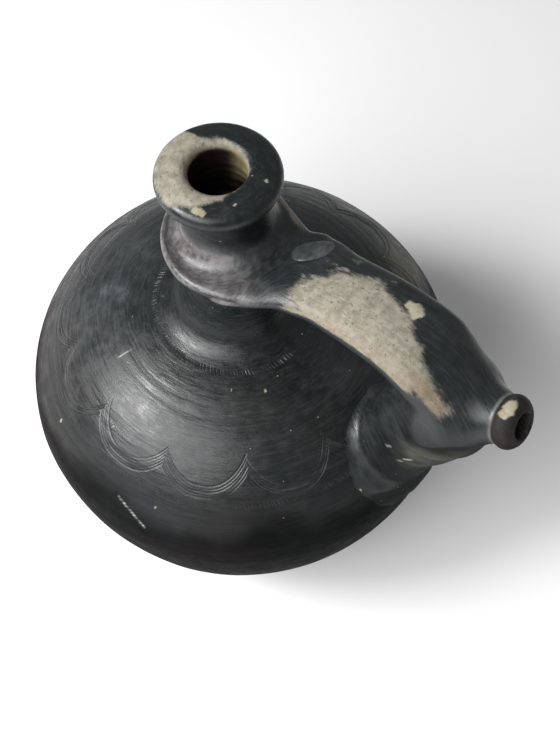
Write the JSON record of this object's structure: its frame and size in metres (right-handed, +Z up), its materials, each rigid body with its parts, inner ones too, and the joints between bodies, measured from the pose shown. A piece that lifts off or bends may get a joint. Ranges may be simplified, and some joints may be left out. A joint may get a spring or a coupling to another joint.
{
  "type": "spouted water jug",
  "caption": "Black clay water jug with a round belly, a narrow flanged neck and a broad strap handle that ends on a hollow spout with a small drinking nozzle.",
  "frame": {"origin": "centre of the flat underside of the base, where the jug rests", "axes": "+Z up along the belly's axis, +X toward the handle and the drinking nozzle"},
  "size_m": [0.2794, 0.24, 0.2872],
  "materials": {
    "burnished_clay": "satin",
    "worn_clay": "matte",
    "clouded_clay": "matte"
  },
  "bodies": {
    "root": {"base_disc": "worn_clay", "lower_bowl": "burnished_clay", "shoulder_dome": "burnished_clay", "neck_stem": "burnished_clay", "neck_collar": "worn_clay", "upper_neck": "burnished_clay", "mouth_lip": "worn_clay", "strap_handle": "clouded_clay", "thumb_pad": "burnished_clay", "spout_horn": "burnished_clay", "spout_root_weld": "burnished_clay", "spout_nozzle": "burnished_clay", "nozzle_rim": "worn_clay"}
  },
  "joints": []
}
